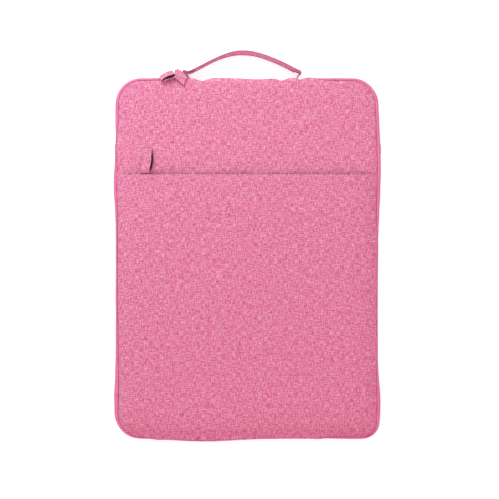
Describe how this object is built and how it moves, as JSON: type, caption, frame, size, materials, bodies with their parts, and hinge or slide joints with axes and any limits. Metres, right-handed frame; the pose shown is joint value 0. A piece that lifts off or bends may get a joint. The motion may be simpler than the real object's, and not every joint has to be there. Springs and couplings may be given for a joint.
{
  "type": "laptop sleeve",
  "caption": "Flat padded laptop sleeve in melange fabric, with a zipped front that folds open, an outside pocket with its own zip, and a short carry handle on top.",
  "frame": {"origin": "middle of the flat back face, which lies on the table", "axes": "+X across the width, to the right when looking at the front; +Y along the height, towards the carry handle; +Z out of the front"},
  "size_m": [0.2886, 0.4194, 0.0357],
  "materials": {
    "panel_fabric": "matte",
    "pocket_fabric": "matte",
    "gusset_fabric": "matte",
    "lining_fabric": "matte",
    "foam": "matte",
    "binding_tape": "matte",
    "zip_tape": "matte",
    "zip_coil": "satin",
    "zip_metal": "satin",
    "pull_fabric": "matte",
    "handle_fabric": "matte",
    "handle_webbing": "matte"
  },
  "bodies": {
    "shell": {"back_cover": "panel_fabric", "back_foam": "foam", "back_lining": "lining_fabric", "lower_gusset": "gusset_fabric", "lower_gusset_lining": "lining_fabric", "back_seam_binding": "binding_tape", "front_seam_binding": "binding_tape", "back_zip_strip": "gusset_fabric", "back_strip_lining": "lining_fabric", "back_zip_tape": "zip_tape", "back_zip_coil": "zip_coil", "left_zip_end_patch": "panel_fabric", "right_zip_end_patch": "panel_fabric", "front_lower_cover": "panel_fabric", "front_lower_foam": "foam", "front_lower_lining": "lining_fabric", "pocket_panel": "pocket_fabric", "pocket_lining": "lining_fabric", "pocket_zip_upper_tape": "zip_tape", "pocket_zip_upper_coil": "zip_coil", "pocket_zip_lower_tape": "zip_tape", "pocket_zip_lower_coil": "zip_coil", "pocket_zip_left_stop": "zip_metal", "pocket_zip_right_stop": "zip_metal", "left_handle_anchor": "handle_fabric", "right_handle_anchor": "handle_fabric"},
    "front_flap": {"flap_cover": "panel_fabric", "flap_foam": "foam", "flap_lining": "lining_fabric", "front_zip_strip": "gusset_fabric", "front_zip_tape": "zip_tape", "front_zip_coil": "zip_coil"},
    "left_slider": {"left_slider": "zip_metal"},
    "left_pull_ring": {"left_pull_ring": "zip_metal"},
    "left_pull_tab": {"left_pull_tab": "pull_fabric"},
    "right_slider": {"right_slider": "zip_metal"},
    "right_pull_ring": {"right_pull_ring": "zip_metal"},
    "right_pull_tab": {"right_pull_tab": "pull_fabric"},
    "pocket_slider": {"pocket_slider": "zip_metal"},
    "pocket_pull_ring": {"pocket_pull_ring": "zip_metal"},
    "pocket_pull_tab": {"pocket_pull_tab": "pull_fabric"},
    "handle": {"handle_outer_fabric": "handle_fabric", "handle_webbing": "handle_webbing", "handle_inner_fabric": "handle_fabric", "left_handle_tab": "handle_fabric", "right_handle_tab": "handle_fabric"}
  },
  "joints": [
    {"name": "flap_fold", "type": "hinge", "parent": "shell", "child": "front_flap", "pos_m": [0, 0.124, 0.026], "axis": [1, 0, 0], "range_deg": [0, 110]},
    {"name": "handle_swing", "type": "hinge", "parent": "shell", "child": "handle", "pos_m": [0, 0.1972, 0.0078], "axis": [1, 0, 0], "range_deg": [-60, 60]},
    {"name": "left_slider_travel", "type": "slide", "parent": "front_flap", "child": "left_slider", "axis": [1, 0, 0], "range_m": [-0.0235, 0]},
    {"name": "left_ring_turn", "type": "hinge", "parent": "left_slider", "child": "left_pull_ring", "pos_m": [-0.0842, 0.19765, 0.019], "axis": [0.9397, -0.342, 0], "range_deg": [-90, 0]},
    {"name": "left_tab_turn", "type": "hinge", "parent": "left_pull_ring", "child": "left_pull_tab", "pos_m": [-0.08267, 0.20185, 0.02539], "axis": [0.9397, -0.342, 0], "range_deg": [-120, 0]},
    {"name": "right_slider_travel", "type": "slide", "parent": "front_flap", "child": "right_slider", "axis": [1, 0, 0], "range_m": [0, 0.182]},
    {"name": "right_ring_turn", "type": "hinge", "parent": "right_slider", "child": "right_pull_ring", "pos_m": [-0.0745, 0.19765, 0.019], "axis": [0.9816, 0.1908, 0], "range_deg": [-90, 0]},
    {"name": "right_tab_turn", "type": "hinge", "parent": "right_pull_ring", "child": "right_pull_tab", "pos_m": [-0.07535, 0.20204, 0.02539], "axis": [0.9816, 0.1908, 0], "range_deg": [-120, 0]},
    {"name": "pocket_slider_travel", "type": "slide", "parent": "shell", "child": "pocket_slider", "axis": [1, 0, 0], "range_m": [0, 0.232]},
    {"name": "pocket_ring_turn", "type": "hinge", "parent": "pocket_slider", "child": "pocket_pull_ring", "pos_m": [-0.1098, 0.08895, 0.02985], "axis": [1, 0, 0], "range_deg": [0, 20]},
    {"name": "pocket_tab_turn", "type": "hinge", "parent": "pocket_pull_ring", "child": "pocket_pull_tab", "pos_m": [-0.1098, 0.09415, 0.02985], "axis": [1, 0, 0], "range_deg": [0, 70]}
  ]
}
